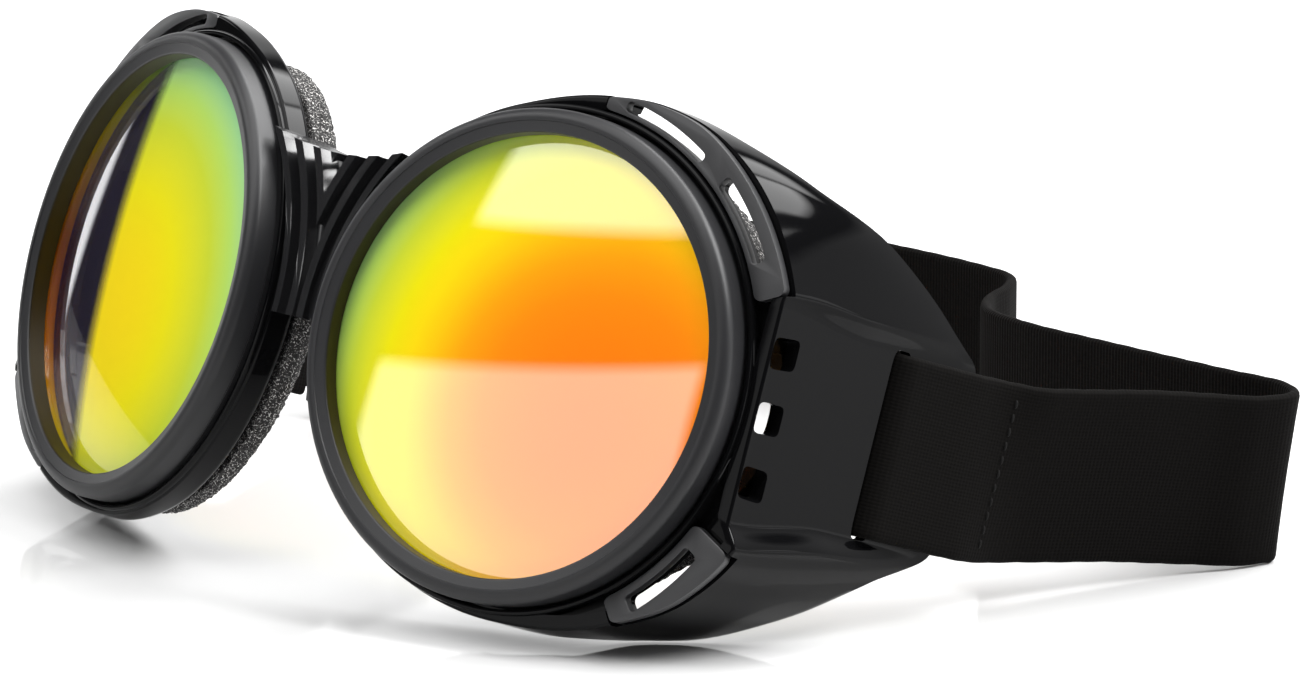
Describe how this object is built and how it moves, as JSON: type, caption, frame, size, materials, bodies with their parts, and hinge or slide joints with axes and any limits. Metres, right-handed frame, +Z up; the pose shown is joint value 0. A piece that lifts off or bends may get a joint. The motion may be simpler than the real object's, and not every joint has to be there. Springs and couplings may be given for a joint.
{
  "type": "welding goggles",
  "caption": "Round-lens welding goggles: vented gloss eyecups with snap-in lens rings, mirrored lenses, foam pads, flexible ribbed nose bridge and elastic head strap",
  "frame": {"origin": "centre of the footprint, on the surface that the goggles rest on", "axes": "+X towards the wearer's left, along the width; -Y the way the lenses face; +Z up"},
  "size_m": [0.1644, 0.1454, 0.0714],
  "materials": {
    "gloss_black": "high-gloss moulded black plastic",
    "satin_charcoal": "satin charcoal moulded plastic",
    "mirror_lens": "polished lens with a fire-coloured interference mirror coating",
    "flexible_black": "soft black elastomer with a satin skin",
    "pad_tape": "pale double-sided adhesive film",
    "foam": "open-cell charcoal polyurethane foam",
    "webbing": "woven black elastic webbing",
    "adjuster_plastic": "fine-grained black plastic"
  },
  "bodies": {
    "left_cup": {"left_eyecup": "gloss_black", "left_upper_vent_frame": "satin_charcoal", "left_lower_vent_frame": "satin_charcoal", "left_lens_gasket": "flexible_black", "left_foam_tape": "pad_tape", "left_foam_pad": "foam", "nose_bridge": "flexible_black", "strap": "webbing"},
    "right_cup": {"right_eyecup": "gloss_black", "right_upper_vent_frame": "satin_charcoal", "right_lower_vent_frame": "satin_charcoal", "right_lens_gasket": "flexible_black", "right_foam_tape": "pad_tape", "right_foam_pad": "foam"},
    "left_lens_body": {"left_lens": "mirror_lens"},
    "left_ring_body": {"left_lens_ring": "satin_charcoal"},
    "right_lens_body": {"right_lens": "mirror_lens"},
    "right_ring_body": {"right_lens_ring": "satin_charcoal"},
    "adjuster": {"strap_adjuster": "adjuster_plastic"}
  },
  "joints": [
    {"name": "nose_bridge_flex", "type": "hinge", "parent": "left_cup", "child": "right_cup", "pos_m": [-0.00334, -0.05613, 0.0499], "axis": [0, 0.3272, 0.9449], "range_deg": [-8, 10], "stiffness_Nm_per_rad": 0.15, "deforming": ["nose_bridge", "strap"]},
    {"name": "left_lens_lift", "type": "slide", "parent": "left_cup", "child": "left_lens_body", "axis": [0.2372, -0.918, 0.3179], "range_m": [0, 0.012]},
    {"name": "left_ring_pull", "type": "slide", "parent": "left_lens_body", "child": "left_ring_body", "axis": [0.2372, -0.918, 0.3179], "range_m": [0, 0.01]},
    {"name": "right_lens_lift", "type": "slide", "parent": "right_cup", "child": "right_lens_body", "axis": [-0.2372, -0.918, 0.3179], "range_m": [0, 0.012]},
    {"name": "right_ring_pull", "type": "slide", "parent": "right_lens_body", "child": "right_ring_body", "axis": [-0.2372, -0.918, 0.3179], "range_m": [0, 0.01]},
    {"name": "strap_adjuster_slide", "type": "slide", "parent": "right_cup", "child": "adjuster", "axis": [-0.03, 0.9884, -0.1491], "range_m": [0, 0.01]}
  ]
}
